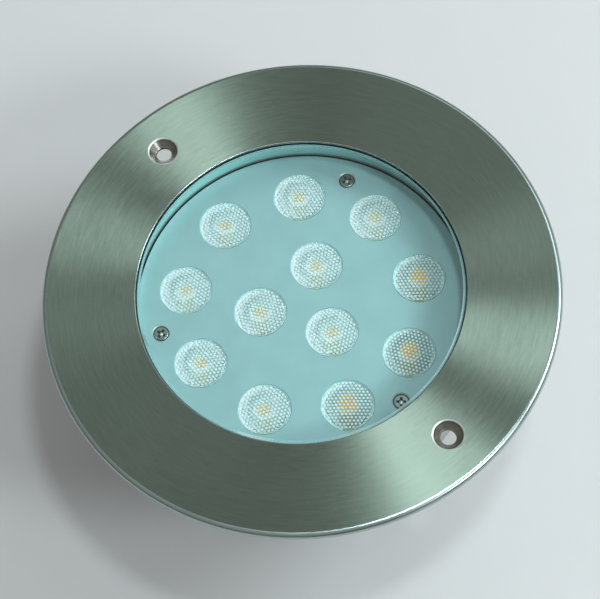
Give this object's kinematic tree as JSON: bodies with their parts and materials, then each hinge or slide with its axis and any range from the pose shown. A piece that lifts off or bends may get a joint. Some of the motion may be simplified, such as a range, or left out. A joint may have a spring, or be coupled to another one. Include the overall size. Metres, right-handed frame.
{
  "type": "recessed underwater light",
  "caption": "Round recessed underwater light: brushed steel face ring with two countersunk fixing holes, flush stepped glass, beaded lens array in a sealed cup with a rear cable gland.",
  "frame": {"origin": "centre of the flange's back face, which seats on the wall", "axes": "+Z along the beam, out of the front glass; the two fixing holes lie on the X axis"},
  "size_m": [0.2, 0.2, 0.0845],
  "materials": {
    "brushed_ring": "circular brushed stainless steel with a polished rim",
    "turned_steel": "drawn stainless steel, lightly turned",
    "fastener_steel": "bright stainless fasteners",
    "tinted_glass": "toughened glass with a green cast and a polished bevel",
    "black_seal": "black silicone rubber",
    "satin_plate": "fine satin silver-grey coating",
    "lens_clear": "clear moulded optical plastic with a beaded face",
    "holder_white": "white moulded plastic",
    "led_package": "white package with a yellow phosphor under its dome",
    "board_white": "white solder resist on an aluminium board",
    "board_green": "green solder resist",
    "pad_grey": "soft grey thermal pad",
    "bare_aluminium": "machined aluminium",
    "nickel_brass": "nickel-plated brass",
    "ferrite_black": "dark ferrite and moulded epoxy",
    "capacitor_sleeve": "shrink sleeve over an aluminium can",
    "terminal_green": "moulded terminal block",
    "lead_sleeve": "insulated wire"
  },
  "bodies": {
    "root": {"face_ring": "brushed_ring", "front_glass": "tinted_glass", "front_gasket": "black_seal", "body_gasket": "black_seal", "housing": "turned_steel", "housing_flange": "turned_steel", "clamp_screws": "fastener_steel", "clamp_washers": "fastener_steel", "cover_plate": "satin_plate", "cover_screws": "fastener_steel", "plate_standoffs": "nickel_brass", "led_board": "board_white", "thermal_pad": "pad_grey", "heat_spreader": "bare_aluminium", "board_screws": "fastener_steel", "support_posts": "fastener_steel", "driver_board": "board_green", "driver_spacers": "nickel_brass", "driver_screws": "fastener_steel", "driver_inductors": "ferrite_black", "driver_capacitors": "capacitor_sleeve", "driver_chips": "ferrite_black", "input_terminal": "terminal_green", "led_leads": "lead_sleeve", "gland_body": "nickel_brass", "gland_gasket": "black_seal", "gland_locknut": "nickel_brass", "gland_seal": "black_seal", "gland_dome_nut": "nickel_brass", "led_emitters": "led_package", "lens_01": "lens_clear", "lens_02": "lens_clear", "lens_03": "lens_clear", "lens_04": "lens_clear", "lens_05": "lens_clear", "lens_06": "lens_clear", "lens_07": "lens_clear", "lens_08": "lens_clear", "lens_09": "lens_clear", "lens_10": "lens_clear", "lens_11": "lens_clear", "lens_12": "lens_clear", "lens_holder_01": "holder_white", "lens_holder_02": "holder_white", "lens_holder_03": "holder_white", "lens_holder_04": "holder_white", "lens_holder_05": "holder_white", "lens_holder_06": "holder_white", "lens_holder_07": "holder_white", "lens_holder_08": "holder_white", "lens_holder_09": "holder_white", "lens_holder_10": "holder_white", "lens_holder_11": "holder_white", "lens_holder_12": "holder_white"}
  },
  "joints": []
}
